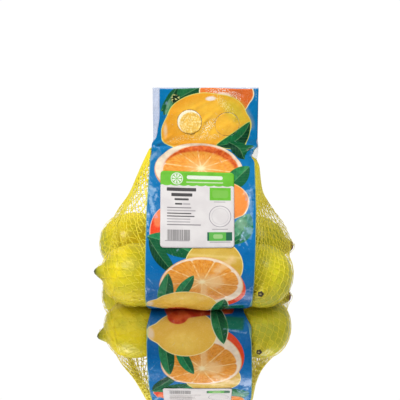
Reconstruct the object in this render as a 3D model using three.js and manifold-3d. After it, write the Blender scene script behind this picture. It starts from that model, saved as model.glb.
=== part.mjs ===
// A retail net of four lemons: a yellow mesh tube with a film panel down its front and its back,
// gathered at the top into a flat film header, with a paper label stuck to the front panel.
// Millimetres, +Z up, the pack standing on its lemons and on the film under them, the front
// panel facing -Y, and the origin at the middle of the base.

import * as THREE from 'three';
import { mergeVertices } from 'three/addons/utils/BufferGeometryUtils.js';
import Module from 'manifold-3d';

const wasm = await Module();
wasm.setup();

// ---- driving dimensions ----

const TOTAL_HEIGHT = 216;
const THROAT_HEIGHT = 158; // where the header's weld gathers the net
const NET_THICKNESS = 0.4; // how far the strands stand off a lemon's skin
const FILM_THICKNESS = 0.8;
const KNOB_ROOT = 10; // how deep in a lemon's end its tip or neck starts
const LABEL_THICKNESS = 0.5;
const GAP = 0.3; // clear air between touching pieces
const THROAT_DEPTH = 5; // front to back of the gathered net at the weld
const THROAT_REACH = 1.6; // how far it shows past the films' edges there

// each lemon: the middle of its body, the way its tip points, and its sizes
const LEMONS = [
  {
    name: 'front_left', middle: [-60, -28, 30.9], points: [-42, -6.3, 7.7],
    radius: 31, tipEnd: 33.5, tipLength: 9.7, tipRadius: 11, stemEnd: 34, neckLength: 1.5, neckRadius: 8,
  },
  {
    name: 'front_right', middle: [64, -28, 30.1], points: [3, 41, -3.4],
    radius: 30.3, tipEnd: 31, tipLength: 4, tipRadius: 9, stemEnd: 33, neckLength: 8, neckRadius: 10,
  },
  {
    name: 'back_left', middle: [-66.5, 37.5, 30.8], points: [0.9, 0.44, 0],
    radius: 31, tipEnd: 34, tipLength: 8, tipRadius: 10.5, stemEnd: 34.5, neckLength: 1.5, neckRadius: 8,
  },
  {
    name: 'back_right', middle: [58, 37, 29.3], points: [42.7, -8, 2],
    radius: 29.5, tipEnd: 34, tipLength: 9, tipRadius: 11, stemEnd: 34, neckLength: 2, neckRadius: 8,
    caught: true, // its tip holds the mesh out like a tent pole
  },
];

// the film panels' lines in the YZ plane, from the seam under the pack up to the weld
const SEAM_HEIGHT = GAP + FILM_THICKNESS; // the film under the pack lies on the ground
const FRONT_LINE = [
  [0, SEAM_HEIGHT], [-28, SEAM_HEIGHT], [-44, 2.6], [-55, 12], [-65.5, 27], [-71.5, 45],
  [-71.5, 58], [-62.5, 80.5], [-44, 106], [-23, 133], [-11, 150], [-6 - THROAT_DEPTH / 2, THROAT_HEIGHT],
];
const BACK_LINE = [
  [0, SEAM_HEIGHT], [34, SEAM_HEIGHT], [56, 3.4], [70, 14], [76.5, 31], [73.5, 52],
  [61, 76], [43, 102], [22, 130], [3, 150], [-6 + THROAT_DEPTH / 2, THROAT_HEIGHT],
];
const HEADER_LINE = [[-6, THROAT_HEIGHT + 4], [-4.5, 172], [4, TOTAL_HEIGHT]];

// a panel's middle and half width in X, by height
const FRONT_EDGES = [
  [SEAM_HEIGHT, 0, 43.5], [12, 2, 49.5], [25, 2, 51.8], [110, 4.3, 52.1], [150, 5.2, 50],
  [THROAT_HEIGHT, 5.2, 49], [THROAT_HEIGHT + 10, 10, 47.6], [TOTAL_HEIGHT, 10.5, 47.6],
];
const BACK_EDGES = [
  [SEAM_HEIGHT, 0, 43.5], [12, 1, 48.5], [25, 3, 51.5], [60, 4, 51.5], [150, 8, 51.5],
  [THROAT_HEIGHT + 10, 8.2, 49.8], [TOTAL_HEIGHT, 8.2, 49.8],
];
const PANEL_CROWN = 1.5; // how far a panel's edges fall back from its middle

const LABEL = { middle: 0.4, width: 70, bottom: 80.5, top: 139, corner: 3.5 };

const PANEL_COLUMNS = 10;
const LABEL_COLUMNS = 6;
const WEB_COLUMNS = 20;
const LEVELS = 32;
const HEADER_LEVELS = 5;
const PULLS = 500; // rounds of pulling the net tight
const WEBS = {
  // how hard the mesh pulls round the pack, against up it, and how far it stands out of its own accord
  left: { side: -1, hoop: 0.12, fullness: 0.08 },
  right: { side: 1, hoop: 1.4, fullness: 0 },
};
// above the lemons the mesh is stretched, and keeps only a share of its fullness
const STRETCHED = { from: 62, to: 96, fullness: 0.5 };
const WEB_START = 90; // the webs start this far out and are pulled in to the lemons
const TAUT_HEIGHT = 94; // a thread caught on a tip is straight up to here
const SEAM_REACH = 12; // how far the bottom seam runs out past a panel

const PLACE = [0.94, -2.26, 0]; // brings the middle of the base to the origin

const COLOURS = { net: '#dccb26', film: '#0d72b4', backFilm: '#b9cfe6', label: '#ece8e6' };

// ---- small tools ----

function lerpTable(table, at) {
  const next = table.findIndex((row) => row[0] >= at);
  if (next === 0) return table[0].slice(1);
  if (next < 0) return table[table.length - 1].slice(1);
  const [low, high] = [table[next - 1], table[next]];
  const share = (at - low[0]) / (high[0] - low[0]);
  return low.slice(1).map((value, i) => THREE.MathUtils.lerp(value, high[i + 1], share));
}

function lineThrough(points) {
  return new THREE.CatmullRomCurve3(points.map(([y, z]) => new THREE.Vector3(0, y, z)), false, 'centripetal');
}

function meshGeometry(positions, triangles) {
  const geometry = new THREE.BufferGeometry();
  geometry.setAttribute('position', new THREE.Float32BufferAttribute(positions.flat(), 3));
  geometry.setIndex(triangles.flat());
  return geometry;
}

// joins the vertices that lie on each other and drops the triangles that this flattens
function welded(geometry) {
  const bare = geometry.clone();
  bare.deleteAttribute('normal');
  bare.deleteAttribute('uv');
  const merged = mergeVertices(bare, 1e-3);
  const index = Array.from(merged.index.array);
  const kept = [];
  for (let i = 0; i < index.length; i += 3) {
    const [a, b, c] = index.slice(i, i + 3);
    if (a !== b && b !== c && c !== a) kept.push(a, b, c);
  }
  merged.setIndex(kept);
  return merged;
}

function toSolid(geometry) {
  return new wasm.Manifold(new wasm.Mesh({
    numProp: 3,
    vertProperties: new Float32Array(geometry.attributes.position.array),
    triVerts: new Uint32Array(geometry.index.array),
  }));
}

// the largest closed skin of a solid, without scraps and without hollows that joining has sealed
function outerSkin(solid) {
  const skins = solid.decompose();
  return skins.reduce((largest, skin) => (skin.volume() > largest.volume() ? skin : largest));
}

function toGeometry(solid) {
  const mesh = solid.getMesh();
  const geometry = new THREE.BufferGeometry();
  geometry.setAttribute('position', new THREE.BufferAttribute(mesh.vertProperties, 3));
  geometry.setIndex(new THREE.BufferAttribute(mesh.triVerts, 1));
  geometry.computeVertexNormals();
  return geometry;
}

// ---- lemons ----

// half of a lemon's outline: a round body with a blunt cone that grows out of its end
function endRadius(along, radius, end, knobLength, knobRadius) {
  const body = along < end ? radius * Math.sqrt(1 - (along / end) ** 2.2) : 0;
  const share = (along - end + KNOB_ROOT) / (knobLength + KNOB_ROOT);
  const knob = share > 0 && share < 1 ? knobRadius * (1 - share ** 1.9) ** 0.6 : 0;
  return Math.cbrt(body ** 3 + knob ** 3);
}

function lemonRadius(lemon, along) {
  return along >= 0
    ? endRadius(along, lemon.radius, lemon.tipEnd, lemon.tipLength, lemon.tipRadius)
    : endRadius(-along, lemon.radius, lemon.stemEnd, lemon.neckLength, lemon.neckRadius);
}

function lemonSolid(lemon) {
  const steps = 22;
  const low = -(lemon.stemEnd + lemon.neckLength);
  const high = lemon.tipEnd + lemon.tipLength;
  const outline = [];
  for (let i = 0; i <= steps; i++) {
    const along = (low + high) / 2 - (high - low) / 2 * Math.cos(Math.PI * i / steps);
    const onAxis = i === 0 || i === steps;
    outline.push(new THREE.Vector2(onAxis ? 0 : lemonRadius(lemon, along) + NET_THICKNESS, along));
  }
  const lathe = welded(new THREE.LatheGeometry(outline, 26));
  const turn = new THREE.Quaternion().setFromUnitVectors(new THREE.Vector3(0, 1, 0), lemon.axis);
  lathe.applyQuaternion(turn);
  lathe.translate(...lemon.middle);
  return toSolid(lathe);
}

// moves a point that is inside a lemon out to its skin, square to the skin
function pushOut(point, lemon) {
  const across = point.clone().sub(lemon.centre);
  const along = across.dot(lemon.axis);
  if (along > lemon.tipEnd + lemon.tipLength || along < -lemon.stemEnd - lemon.neckLength) return;
  across.addScaledVector(lemon.axis, -along);
  const distance = across.length();
  const depth = lemonRadius(lemon, along) - distance;
  if (depth <= 0) return;
  const step = 0.5;
  const slope = (lemonRadius(lemon, along + step) - lemonRadius(lemon, along - step)) / (2 * step);
  const outward = across.divideScalar(distance).addScaledVector(lemon.axis, -slope);
  point.addScaledVector(outward, depth / outward.lengthSq());
}

for (const lemon of LEMONS) {
  lemon.axis = new THREE.Vector3(...lemon.points).normalize();
  lemon.centre = new THREE.Vector3(...lemon.middle);
}

// ---- film panels ----

// the surface of a panel that the net touches: side is -1 for the front panel, 1 for the back one
function panelPoint(line, edges, side, share, across) {
  const on = line.getPointAt(share);
  on.z = Math.max(on.z, SEAM_HEIGHT);
  const [middle, half] = lerpTable(edges, on.z);
  const low = THREE.MathUtils.smoothstep(on.z, 4, 40);
  const high = 1 - THREE.MathUtils.smoothstep(on.z, 110, THROAT_HEIGHT);
  const back = PANEL_CROWN * low * high * across ** 2;
  return new THREE.Vector3(middle + half * across, on.y - side * back, on.z);
}

const frontLine = lineThrough(FRONT_LINE);
const backLine = lineThrough(BACK_LINE);
const frontPoint = (share, across) => panelPoint(frontLine, FRONT_EDGES, -1, share, across);
const backPoint = (share, across) => panelPoint(backLine, BACK_EDGES, 1, share, across);

// a thin closed sheet from a grid of points, laid off from them along their outward normals
function sheet(rows, outward, near, far) {
  const height = rows.length;
  const width = rows[0].length;
  const normals = rows.map((row, i) => row.map((_, j) => {
    const up = rows[Math.min(i + 1, height - 1)][j].clone().sub(rows[Math.max(i - 1, 0)][j]);
    const over = row[Math.min(j + 1, width - 1)].clone().sub(row[Math.max(j - 1, 0)]);
    return over.cross(up).normalize().multiplyScalar(outward);
  }));
  const offset = (distance) => rows.flatMap((row, i) => row.map((point, j) => (
    point.clone().addScaledVector(normals[i][j], distance).toArray())));
  const positions = [...offset(far), ...offset(near)];
  const count = height * width;
  const triangles = [];
  const quad = (a, b, c, d) => {
    triangles.push(...(outward > 0 ? [[a, b, c], [a, c, d]] : [[a, c, b], [a, d, c]]));
  };
  for (let i = 0; i < height - 1; i++) {
    for (let j = 0; j < width - 1; j++) {
      const a = i * width + j;
      const [b, c, d] = [a + 1, a + width + 1, a + width];
      quad(a, b, c, d);
      quad(count + a, count + d, count + c, count + b);
    }
    const [left, right] = [i * width, i * width + width - 1];
    quad(left, left + width, count + left + width, count + left);
    quad(right, count + right, count + right + width, right + width);
  }
  for (let j = 0; j < width - 1; j++) {
    const top = (height - 1) * width + j;
    quad(j, count + j, count + j + 1, j + 1);
    quad(top, top + 1, count + top + 1, count + top);
  }
  return meshGeometry(positions, triangles);
}

function across(columns, j) {
  return 2 * j / columns - 1;
}

// a whole panel: up from the seam to the weld, then on to the top of the header
function panelRows(point, edges, side) {
  const rows = [];
  for (let i = 0; i <= LEVELS; i++) {
    const row = [];
    for (let j = 0; j <= PANEL_COLUMNS; j++) row.push(point(i / LEVELS, across(PANEL_COLUMNS, j)));
    rows.push(row);
  }
  const header = lineThrough(HEADER_LINE);
  for (let i = 0; i <= HEADER_LEVELS; i++) {
    const on = header.getPointAt(i / HEADER_LEVELS);
    const [middle, half] = lerpTable(edges, on.z);
    const row = [];
    for (let j = 0; j <= PANEL_COLUMNS; j++) {
      row.push(new THREE.Vector3(middle + half * across(PANEL_COLUMNS, j), on.y - side * GAP / 2, on.z));
    }
    rows.push(row);
  }
  return rows;
}

function panelGeometry(point, edges, side) {
  const rows = panelRows(point, edges, side);
  for (const end of rows[0]) end.y += side * GAP / 2;
  return sheet(rows, -side, GAP, GAP + FILM_THICKNESS);
}

// ---- paper label ----

// how far along the front line, as a share of it, the panel reaches a height
function shareAtHeight(height) {
  let [low, high] = [0, 1];
  while (high - low > 1e-5) {
    const middle = (low + high) / 2;
    if (frontLine.getPointAt(middle).z < height) low = middle;
    else high = middle;
  }
  return low;
}

// rows run from the label's bottom to its top, the first and last few drawn in for its round corners
function labelGeometry() {
  const length = frontLine.getLength();
  const [bottom, top] = [LABEL.bottom, LABEL.top].map((height) => shareAtHeight(height) * length);
  const { corner, width, middle } = LABEL;
  const cornerSteps = [0, 0.12, 0.45, 1].map((step) => step * corner);
  const heights = [...cornerSteps.map((step) => bottom + step), ...cornerSteps.map((step) => top - step)];
  for (let i = 1; i < LEVELS; i++) {
    const on = i / LEVELS * length;
    if (on > bottom + corner + 1 && on < top - corner - 1) heights.push(on);
  }
  const rows = heights.sort((a, b) => a - b).map((on) => {
    const inset = Math.max(0, corner - Math.min(on - bottom, top - on));
    const half = width / 2 - corner + Math.sqrt(corner ** 2 - inset ** 2);
    const [panelMiddle, panelHalf] = lerpTable(FRONT_EDGES, frontLine.getPointAt(on / length).z);
    const row = [];
    for (let j = 0; j <= LABEL_COLUMNS; j++) {
      const x = middle + half * across(LABEL_COLUMNS, j);
      row.push(frontPoint(on / length, (x - panelMiddle) / panelHalf));
    }
    return row;
  });
  const back = GAP + FILM_THICKNESS + GAP;
  return sheet(rows, 1, back, back + LABEL_THICKNESS);
}

// ---- the net, pulled tight over the lemons between the two panels ----

// one closed ring of the pack: front panel, right web, back panel, left web
function startRing(level) {
  const share = level / LEVELS;
  const ring = [];
  const addWeb = (from, to, web) => {
    for (let j = 1; j < WEB_COLUMNS; j++) {
      const on = j / WEB_COLUMNS;
      const bulge = Math.sin(Math.PI * on);
      const reach = level === 0
        ? SEAM_REACH * (1 - Math.abs(2 * on - 1))
        : THREE.MathUtils.lerp(WEB_START, THROAT_REACH, share) * bulge;
      const point = from.clone().lerp(to, on);
      point.x += web.side * reach;
      ring.push({ point, web, held: level === 0 || level === LEVELS });
    }
  };
  for (let j = 0; j <= PANEL_COLUMNS; j++) {
    ring.push({ point: frontPoint(share, across(PANEL_COLUMNS, j)), held: true });
  }
  addWeb(frontPoint(share, 1), backPoint(share, 1), WEBS.right);
  for (let j = PANEL_COLUMNS; j >= 0; j--) {
    ring.push({ point: backPoint(share, across(PANEL_COLUMNS, j)), held: true });
  }
  addWeb(backPoint(share, -1), frontPoint(share, -1), WEBS.left);
  return ring;
}

function pullTight(rings) {
  const count = rings[0].length;
  const nodes = rings.flatMap((ring, i) => ring.map((node, j) => ({ node, i, j })));
  for (let round = 0; round < PULLS; round++) {
    if (round === PULLS / 2) {
      for (const lemon of LEMONS.filter((one) => one.caught)) catchTip(rings, lemon);
    }
    for (const { node, i, j } of nodes) {
      if (node.held) continue;
      const { point, web, taut } = node;
      const pull = taut ? 0 : web.hoop;
      const hoop = rings[i][(j + 1) % count].point.clone().add(rings[i][(j + count - 1) % count].point);
      const rise = rings[i + 1][j].point.clone().add(rings[i - 1][j].point);
      point.copy(hoop.multiplyScalar(pull).add(rise).divideScalar(2 + 2 * pull));
      const stretched = THREE.MathUtils.smoothstep(point.z, STRETCHED.from, STRETCHED.to);
      point.x += web.side * web.fullness * THREE.MathUtils.lerp(1, STRETCHED.fullness, stretched);
      for (const lemon of LEMONS) pushOut(point, lemon);
      point.z = Math.max(point.z, 0);
    }
  }
}

// hangs the nearest knot of the mesh on a lemon's tip, and draws the thread above it straight
function catchTip(rings, lemon) {
  const tip = lemon.centre.clone().addScaledVector(lemon.axis, lemon.tipEnd + lemon.tipLength);
  let nearest = { distance: Infinity };
  rings.forEach((ring, i) => ring.forEach((node, j) => {
    const distance = node.point.distanceTo(tip);
    if (!node.held && distance < nearest.distance) nearest = { distance, node, i, j };
  }));
  nearest.node.point.copy(tip);
  nearest.node.held = true;
  for (let i = nearest.i + 1; rings[i][nearest.j].point.z < TAUT_HEIGHT; i++) rings[i][nearest.j].taut = true;
}

function skinSolid() {
  const rings = [];
  for (let level = 0; level <= LEVELS; level++) rings.push(startRing(level));
  pullTight(rings);
  const count = rings[0].length;
  const positions = rings.flatMap((ring) => ring.map((node) => node.point.toArray()));
  const triangles = [];
  for (let i = 0; i < LEVELS; i++) {
    for (let j = 0; j < count; j++) {
      const next = (j + 1) % count;
      const [a, b, c, d] = [i * count + j, i * count + next, (i + 1) * count + next, (i + 1) * count + j];
      triangles.push([a, b, c], [a, c, d]);
    }
  }
  const top = LEVELS * count;
  const middle = positions.length;
  const weld = rings[LEVELS].reduce((sum, node) => sum.add(node.point), new THREE.Vector3());
  positions.push(weld.divideScalar(count).toArray());
  for (let j = 0; j < count; j++) triangles.push([top + j, top + (j + 1) % count, middle]);
  return toSolid(welded(meshGeometry(positions, triangles)));
}

function netGeometry() {
  let solid = skinSolid();
  for (const lemon of LEMONS) solid = solid.add(lemonSolid(lemon));
  const ground = new THREE.BoxGeometry(400, 400, 20);
  ground.translate(0, 0, -10);
  return toGeometry(outerSkin(solid.subtract(toSolid(welded(ground)))));
}

// ---- assembly ----

const pack = new THREE.Group();
pack.position.set(...PLACE);

function addPiece(name, geometry, colour, roughness) {
  const material = new THREE.MeshStandardMaterial({ color: colour, roughness, metalness: 0 });
  const mesh = new THREE.Mesh(geometry, material);
  mesh.name = name;
  pack.add(mesh);
}

addPiece('lemon_net', netGeometry(), COLOURS.net, 0.5);
addPiece('film_front', panelGeometry(frontPoint, FRONT_EDGES, -1), COLOURS.film, 0.25);
addPiece('film_back', panelGeometry(backPoint, BACK_EDGES, 1), COLOURS.backFilm, 0.25);
addPiece('paper_label', labelGeometry(), COLOURS.label, 0.55);

export default pack;
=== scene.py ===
import bpy
import math
import numpy as np
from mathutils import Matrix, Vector


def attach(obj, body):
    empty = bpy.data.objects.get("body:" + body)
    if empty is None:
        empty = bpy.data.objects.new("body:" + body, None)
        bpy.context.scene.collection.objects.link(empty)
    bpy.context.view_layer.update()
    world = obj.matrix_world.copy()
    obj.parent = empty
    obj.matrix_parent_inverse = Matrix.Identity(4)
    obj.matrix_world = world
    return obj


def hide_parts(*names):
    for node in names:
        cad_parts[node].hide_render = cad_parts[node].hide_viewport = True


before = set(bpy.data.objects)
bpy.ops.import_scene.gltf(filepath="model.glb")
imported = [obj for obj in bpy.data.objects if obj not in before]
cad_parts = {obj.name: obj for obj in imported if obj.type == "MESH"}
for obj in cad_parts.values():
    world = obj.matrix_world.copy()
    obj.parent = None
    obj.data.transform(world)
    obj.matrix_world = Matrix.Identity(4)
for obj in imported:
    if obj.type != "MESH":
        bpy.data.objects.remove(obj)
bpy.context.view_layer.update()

MM = 0.001


# ---- Studio: a pale glossy table under soft light, looked down on by the camera. ----
# The table is a sheet of white acrylic, the light a white tent that is brightest low down,
# with a softbox up at the left in front and a weaker one overhead.

class Value:
    """A shader socket whose expressions add their Math nodes."""

    def __init__(self, finish, socket):
        self.finish = finish
        self.socket = socket

    def math(self, operation, *others):
        return self.finish.math(operation, self, *others)

    def __add__(self, other):
        return self.math("ADD", other)

    def __mul__(self, other):
        return self.math("MULTIPLY", other)

    __radd__ = __add__
    __rmul__ = __mul__

    def __sub__(self, other):
        return self.math("SUBTRACT", other)

    def __rsub__(self, other):
        return self.finish.math("SUBTRACT", other, self)

    def __truediv__(self, other):
        return self.math("DIVIDE", other)

    def __pow__(self, other):
        return self.math("POWER", other)

    def __neg__(self):
        return self.math("MULTIPLY", -1)

    def __abs__(self):
        return self.math("ABSOLUTE")

    def times_plus(self, factor, more):
        return self.math("MULTIPLY_ADD", factor, more)

    def vector(self, operation, other=None, output=0):
        sockets = {0: self} if other is None else {0: self, 1: other}
        return self.finish.add("ShaderNodeVectorMath", {"operation": operation}, sockets, output)

    def length(self):
        return self.vector("LENGTH", output=1)

    def axes(self):
        split = self.finish.add("ShaderNodeSeparateXYZ", None, {0: self})
        return [Value(self.finish, socket) for socket in split.socket.node.outputs]

    def fraction(self):
        return self.math("FRACT")

    def lowest(self, other):
        return self.math("MINIMUM", other)

    def highest(self, other):
        return self.math("MAXIMUM", other)

    def rise(self, start, end):
        """0 before start and 1 after end, smooth between them; start may be the larger one."""
        settings = {"interpolation_type": "SMOOTHSTEP"}
        return self.finish.add("ShaderNodeMapRange", settings, {0: self, 1: start, 2: end, 3: 0.0, 4: 1.0})


def paint(red, green, blue):
    """A colour of 0 to 255 parts as the linear one that a shader takes."""
    steps = [part / 255 for part in (red, green, blue)]
    linear = [s / 12.92 if s <= 0.04045 else ((s + 0.055) / 1.055) ** 2.4 for s in steps]
    return (*linear, 1.0)


class Nodes:
    """A node tree in the making, and the method that adds a node to it. A colour of three parts
    from 0 to 255 is made linear where it is fed to a socket."""

    def __init__(self, tree):
        self.tree = tree

    def feed(self, socket, value):
        if isinstance(value, Value):
            self.tree.links.new(value.socket, socket)
        elif socket.type == "RGBA" and len(value) == 3:
            socket.default_value = paint(*value)
        else:
            socket.default_value = value

    def add(self, kind, settings=None, sockets=None, output=0):
        node = self.tree.nodes.new(kind)
        for name, value in (settings or {}).items():
            setattr(node, name, value)
        for name, value in (sockets or {}).items():
            self.feed(node.inputs[name], value)
        return Value(self, node.outputs[output])

    def math(self, operation, *values):
        return self.add("ShaderNodeMath", {"operation": operation}, dict(enumerate(values)))

    def mix(self, share, under, over):
        return self.add("ShaderNodeMix", {"data_type": "RGBA"}, {0: share, 6: under, 7: over}, output=2)

    def noise(self, place, size, detail=2.0):
        """Cloudy noise whose clouds are about size across, in metres."""
        return self.add("ShaderNodeTexNoise", None, {"Vector": place, "Scale": 1 / size, "Detail": detail})

    def place(self):
        return self.add("ShaderNodeTexCoord", output=3)


class Finish(Nodes):
    """A material in the making, with its one shader."""

    def __init__(self, name, **shader_values):
        self.material = bpy.data.materials.new(name)
        self.material.use_nodes = True
        super().__init__(self.material.node_tree)
        self.shader = self.tree.nodes["Principled BSDF"]
        for socket, value in shader_values.items():
            self.shader.inputs[socket.replace("_", " ")].default_value = value

    def bump(self, height, depth):
        """Feeds a height from 0 to 1 that is depth deep, in metres, to the shader's normal."""
        normal = self.add("ShaderNodeBump", None, {"Strength": 1.0, "Distance": depth, "Height": height})
        self.feed(self.shader.inputs["Normal"], normal)

    def colour(self, value):
        self.feed(self.shader.inputs["Base Color"], value)

    def roughness(self, value):
        self.feed(self.shader.inputs["Roughness"], value)


TABLE_SIZE = 8
bpy.ops.mesh.primitive_grid_add(x_subdivisions=40, y_subdivisions=40, size=TABLE_SIZE, location=(0, 0, 0))
table = bpy.context.object
table.name = "table"
acrylic = Finish("white_acrylic", Roughness=0.015, Metallic=1.0)  # as good as a mirror at these angles
cloud = acrylic.noise(acrylic.place(), 0.35)
acrylic.colour(acrylic.mix(cloud, (0.955, 0.955, 0.955, 1), (0.975, 0.975, 0.975, 1)))
table.data.materials.append(acrylic.material)

scene = bpy.context.scene
scene.view_settings.view_transform = "Standard"
world = bpy.data.worlds.new("light_tent")
scene.world = world
world.use_nodes = True
tent = Nodes(world.node_tree)
_, toward_y, upward = tent.add("ShaderNodeTexCoord").axes()
wall = upward.rise(0.14, 0.27) * (1 - upward.rise(0.68, 0.86) * 0.8)
front_side = toward_y.rise(0.78, 0.15)  # all but the wall behind is dimmer
backdrop = tent.tree.nodes["Background"].inputs
tent.feed(backdrop["Strength"], (0.2 + wall * 0.86) * (1 - front_side * 0.6))
tent.feed(backdrop["Color"], (1, 1, 1, 1))


def softbox(name, place, aim, width, length, power):
    bpy.ops.object.light_add(type="AREA", location=place)
    lamp = bpy.context.object
    lamp.name = name
    lamp.data.shape = "RECTANGLE"
    lamp.data.size = width
    lamp.data.size_y = length
    lamp.data.energy = power
    lamp.rotation_euler = (Vector(aim) - Vector(place)).to_track_quat("-Z", "Y").to_euler()


softbox("key_softbox", (-0.62, -0.66, 1.42), (0, 0, 0.08), 0.5, 0.45, 20)
softbox("top_softbox", (0.42, -0.28, 1.5), (0.03, 0, 0.04), 0.6, 0.6, 11)

CAMERA_PLACE = (0.00394, -0.9689, 0.5921)
CAMERA_TILT = 63  # degrees up from straight down
bpy.ops.object.camera_add(location=CAMERA_PLACE, rotation=(math.radians(CAMERA_TILT), 0, 0))
camera = bpy.context.object
camera.data.lens = 99.2
camera.data.sensor_width = 36
scene.camera = camera


# ---- Lemons: four waxed fruits, two in front and two behind. ----
# Each is a round body with a blunt tip at one end and a neck with the cut stem at the other.
# They are loose in the net, and lean on each other and on the films.

PACK_SHIFT = np.array([0.94, -2.26, 0.0])  # from the middle of the header's foot to the middle of the base
KNOB_ROOT = 10.0  # how deep in a lemon's end its tip or neck starts
# A lemon's middle, the way its tip points, and its radius. Then each end: how far off the body ends, how
# long and how thick the knob on it is, and where two more are given, how the knob tapers.
LEMONS = {
    "front_left": {
        "middle": (-60, -28, 30.9), "points": (-42, -6.3, 7.7), "radius": 31.0,
        "tip": (33.5, 9.9, 13.0, 1.2, 0.8), "stem": (34.0, 1.5, 8.0),
        "skin": (230, 208, 22), "shade": (200, 188, 24), "end": (96, 112, 30), "tip_scar": (50, 60, 34),
    },
    # the two right-hand lemons have darker, greener skins than the left two: partly their own colour, partly
    # painted shade
    "front_right": {
        "middle": (64, -28, 30.1), "points": (3, 41, -3.4), "radius": 30.3,
        "tip": (31.0, 4.0, 9.0), "stem": (32.4, 8.9, 8.8),
        "skin": (205, 197, 30), "shade": (178, 178, 40), "end": (196, 180, 36), "tip_scar": (96, 84, 40),
    },
    "back_left": {
        "middle": (-66.5, 37.5, 30.8), "points": (0.9, 0.44, 0), "radius": 31.0,
        "tip": (34.0, 8.0, 10.5), "stem": (34.5, 1.5, 8.0), "button_on_tip": True,
        "skin": (236, 212, 26), "shade": (208, 196, 30), "end": (168, 168, 36), "tip_scar": (88, 78, 40),
    },
    # darker, greener skin: partly its own colour, partly painted shade
    "back_right": {
        "middle": (58, 37, 29.3), "points": (42.7, -8, 2), "radius": 29.5,
        "tip": (34.0, 9.0, 11.0), "stem": (34.0, 2.0, 8.0), "caught": True,
        "skin": (192, 186, 32), "shade": (162, 166, 36), "end": (150, 132, 40), "tip_scar": (104, 44, 26),
    },
}
SKIN_SEGMENTS = 176
SKIN_RINGS = 120
SKIN_LUMPS = (0.011, 0.0007)  # size and depth, in metres
SKIN_PORES = (0.0021, 0.00028)
LEMON_GAP = 0.35  # how far a lemon stays off the table, because the net and the film are under it


def bell(value):
    return np.exp(-value ** 2)


def end_radius(along, radius, end, knob_length, knob_radius, power=1.9, root=0.6):
    """How far the skin is from the axis at places along one half of a lemon."""
    body = radius * np.sqrt(np.clip(1 - (np.clip(along, 0, None) / end) ** 2.2, 0, 1))
    share = np.clip((along - end + KNOB_ROOT) / (knob_length + KNOB_ROOT), 0, 1)
    knob = np.where(share > 0, knob_radius * (1 - share ** power) ** root, 0)
    return np.cbrt(body ** 3 + knob ** 3)


def profile_of(lemon):
    """The lemon's outline: places along its axis, and how far its skin is from the axis there."""
    along = np.linspace(-lemon["stem_end"], lemon["tip_end"], 400)
    tip = end_radius(along, lemon["radius"], *lemon["tip"])
    stem = end_radius(-along, lemon["radius"], *lemon["stem"])
    return along, np.where(along >= 0, tip, stem)


def lemon_radius(lemon, along):
    return np.interp(along, *lemon["profile"])


def vertices_of(piece):
    flat = np.empty(len(piece.data.vertices) * 3)
    piece.data.vertices.foreach_get("co", flat)
    return flat.reshape(-1, 3)


def move_vertices(piece, points):
    piece.data.vertices.foreach_set("co", points.ravel())
    piece.data.update()


def select_only(piece):
    bpy.ops.object.select_all(action="DESELECT")
    piece.select_set(True)
    bpy.context.view_layer.objects.active = piece


def apply_modifiers(piece):
    select_only(piece)
    for modifier in list(piece.modifiers):
        bpy.ops.object.modifier_apply(modifier=modifier.name)


def relief(piece, name, kind, size, depth):
    """Presses a procedural texture's relief into a piece, in metres."""
    texture = bpy.data.textures.new(name, kind)
    texture.noise_scale = size
    modifier = piece.modifiers.new(name, "DISPLACE")
    modifier.texture = texture
    modifier.texture_coords = "LOCAL"
    modifier.strength = depth
    modifier.mid_level = 0.5


def smoothly(piece):
    select_only(piece)
    bpy.ops.object.shade_smooth()


def turn_to(axis):
    """The turn that points an upright thing along an axis."""
    return Vector((0, 0, 1)).rotation_difference(Vector(axis))


def form_lemon(name, lemon):
    bpy.ops.mesh.primitive_uv_sphere_add(segments=SKIN_SEGMENTS, ring_count=SKIN_RINGS, radius=1)
    skin = bpy.context.object
    skin.name = f"lemon_{name}"
    ball = vertices_of(skin)
    tip_end, stem_end = lemon["tip_end"], lemon["stem_end"]
    along = (tip_end - stem_end) / 2 + (tip_end + stem_end) / 2 * ball[:, 2]
    around = np.arctan2(ball[:, 1], ball[:, 0])
    out = lemon_radius(lemon, along)
    groove = 0.5 * bell((along - lemon["tip"][0] + 2.5) / 1.5)  # round the foot of the tip
    flutes = 0.035 * np.sin(5 * around + 1) * bell((along + stem_end) / 7)
    ripple = 0.006 * np.sin(3 * around + along / 9) * np.cos(along / 14)
    out = np.maximum(out * (1 + flutes + ripple) - groove, 0)
    dimple = 0.9 * bell(out / 1.8) * (ball[:, 2] > 0)  # the dried scar of the flower
    along = along - dimple
    local = np.column_stack([out * np.cos(around), out * np.sin(around), along])
    placed = local @ np.array(turn_to(lemon["axis"]).to_matrix()).T + lemon["centre"]
    placed[:, 2] = np.maximum(placed[:, 2], LEMON_GAP)
    move_vertices(skin, placed * MM)
    relief(skin, "lumps", "CLOUDS", *SKIN_LUMPS)
    relief(skin, "pores", "VORONOI", *SKIN_PORES)
    apply_modifiers(skin)
    smoothly(skin)
    return skin


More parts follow.
